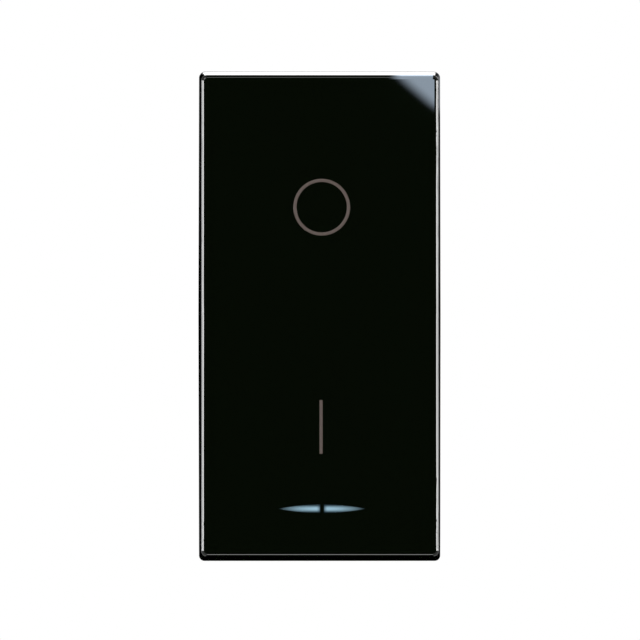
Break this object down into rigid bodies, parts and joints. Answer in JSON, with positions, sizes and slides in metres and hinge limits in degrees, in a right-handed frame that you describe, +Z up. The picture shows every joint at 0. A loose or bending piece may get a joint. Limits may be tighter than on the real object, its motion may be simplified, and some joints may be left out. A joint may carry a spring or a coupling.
{
  "type": "rocker light switch module",
  "caption": "One-module two-pole rocker light switch with a glossy key marked O and I, a lit window, a snap-in collar and rear screw terminals.",
  "frame": {"origin": "middle of the module on the seat plane, the rear face of the collar's flange", "axes": "+X to the right, +Z up along the key, +Y into the wall"},
  "size_m": [0.0222, 0.0401, 0.0448],
  "materials": {
    "key_gloss": "high gloss moulded polycarbonate",
    "guide_clear": "clear moulded acrylic, lit pale blue",
    "carrier_white": "natural moulded acetal",
    "collar_black": "fine satin moulded polycarbonate",
    "case_grey": "fine satin moulded thermoset",
    "board_green": "solder mask on glass laminate",
    "led_body": "clear epoxy",
    "resistor_black": "glazed chip",
    "plunger_nylon": "turned nylon",
    "spring_steel": "drawn wire",
    "copper_alloy": "stamped strip",
    "contact_silver": "fine silver button",
    "zinc_steel": "bright zinc plate"
  },
  "bodies": {
    "base": {"housing": "case_grey", "front_collar": "collar_black", "line_strip_left": "copper_alloy", "load_strip_left": "copper_alloy", "fixed_contact_left": "contact_silver", "line_strip_right": "copper_alloy", "load_strip_right": "copper_alloy", "fixed_contact_right": "contact_silver", "terminal_cage_lower_left": "zinc_steel", "terminal_cage_lower_right": "zinc_steel", "terminal_cage_upper_left": "zinc_steel", "terminal_cage_upper_right": "zinc_steel", "lamp_holder": "carrier_white", "lamp_board": "board_green", "led": "led_body", "lamp_resistor": "resistor_black", "lamp_lead_left": "copper_alloy", "lamp_lead_right": "copper_alloy"},
    "rocker": {"key_cover": "key_gloss", "rocker_carrier": "carrier_white", "light_guide": "guide_clear", "plunger_spring_left": "spring_steel", "plunger_spring_right": "spring_steel"},
    "left_plunger": {"plunger_left": "plunger_nylon"},
    "left_lever": {"contact_lever_left": "copper_alloy", "moving_contact_left": "contact_silver"},
    "right_plunger": {"plunger_right": "plunger_nylon"},
    "right_lever": {"contact_lever_right": "copper_alloy", "moving_contact_right": "contact_silver"},
    "lower_left_clamp": {"pressure_plate_lower_left": "zinc_steel"},
    "lower_left_screw": {"terminal_screw_lower_left": "zinc_steel"},
    "lower_right_clamp": {"pressure_plate_lower_right": "zinc_steel"},
    "lower_right_screw": {"terminal_screw_lower_right": "zinc_steel"},
    "upper_left_clamp": {"pressure_plate_upper_left": "zinc_steel"},
    "upper_left_screw": {"terminal_screw_upper_left": "zinc_steel"},
    "upper_right_clamp": {"pressure_plate_upper_right": "zinc_steel"},
    "upper_right_screw": {"terminal_screw_upper_right": "zinc_steel"}
  },
  "joints": [
    {"name": "rocker_hinge", "type": "hinge", "parent": "base", "child": "rocker", "pos_m": [0, -0.0025, 0], "axis": [1, 0, 0], "range_deg": [0, 9]},
    {"name": "left_plunger_slide", "type": "slide", "parent": "rocker", "child": "left_plunger", "axis": [0, -0.9969, 0.0785], "range_m": [0, 0.001], "stiffness_N_per_m": 850, "springref_m": -0.003, "deforming": ["plunger_spring_left"]},
    {"name": "left_lever_hinge", "type": "hinge", "parent": "base", "child": "left_lever", "pos_m": [-0.00521, 0.01233, 0], "axis": [1, 0, 0], "range_deg": [-18, 0]},
    {"name": "right_plunger_slide", "type": "slide", "parent": "rocker", "child": "right_plunger", "axis": [0, -0.9969, 0.0785], "range_m": [0, 0.001], "stiffness_N_per_m": 850, "springref_m": -0.003, "deforming": ["plunger_spring_right"]},
    {"name": "right_lever_hinge", "type": "hinge", "parent": "base", "child": "right_lever", "pos_m": [0.00521, 0.01233, 0], "axis": [1, 0, 0], "range_deg": [-18, 0]},
    {"name": "lower_left_clamp_slide", "type": "slide", "parent": "base", "child": "lower_left_clamp", "axis": [0, -1, 0], "range_m": [0, 0.0026]},
    {"name": "lower_left_screw_turn", "type": "hinge", "parent": "lower_left_clamp", "child": "lower_left_screw", "pos_m": [-0.00521, 0.02814, -0.0156], "axis": [0, -1, 0], "range_deg": [0, 1560.05]},
    {"name": "lower_right_clamp_slide", "type": "slide", "parent": "base", "child": "lower_right_clamp", "axis": [0, -1, 0], "range_m": [0, 0.0026]},
    {"name": "lower_right_screw_turn", "type": "hinge", "parent": "lower_right_clamp", "child": "lower_right_screw", "pos_m": [0.00521, 0.02814, -0.0156], "axis": [0, -1, 0], "range_deg": [0, 1560.05]},
    {"name": "upper_left_clamp_slide", "type": "slide", "parent": "base", "child": "upper_left_clamp", "axis": [0, -1, 0], "range_m": [0, 0.0026]},
    {"name": "upper_left_screw_turn", "type": "hinge", "parent": "upper_left_clamp", "child": "upper_left_screw", "pos_m": [-0.00521, 0.02814, 0.0156], "axis": [0, -1, 0], "range_deg": [0, 1560.05]},
    {"name": "upper_right_clamp_slide", "type": "slide", "parent": "base", "child": "upper_right_clamp", "axis": [0, -1, 0], "range_m": [0, 0.0026]},
    {"name": "upper_right_screw_turn", "type": "hinge", "parent": "upper_right_clamp", "child": "upper_right_screw", "pos_m": [0.00521, 0.02814, 0.0156], "axis": [0, -1, 0], "range_deg": [0, 1560.05]}
  ],
  "couplings": [
    {"joint": "left_lever_hinge", "follows": "rocker_hinge", "ratio": -2},
    {"joint": "right_lever_hinge", "follows": "rocker_hinge", "ratio": -2},
    {"joint": "lower_left_screw_turn", "follows": "lower_left_clamp_slide", "rad_per_m": 10472},
    {"joint": "lower_right_screw_turn", "follows": "lower_right_clamp_slide", "rad_per_m": 10472},
    {"joint": "upper_left_screw_turn", "follows": "upper_left_clamp_slide", "rad_per_m": 10472},
    {"joint": "upper_right_screw_turn", "follows": "upper_right_clamp_slide", "rad_per_m": 10472}
  ]
}
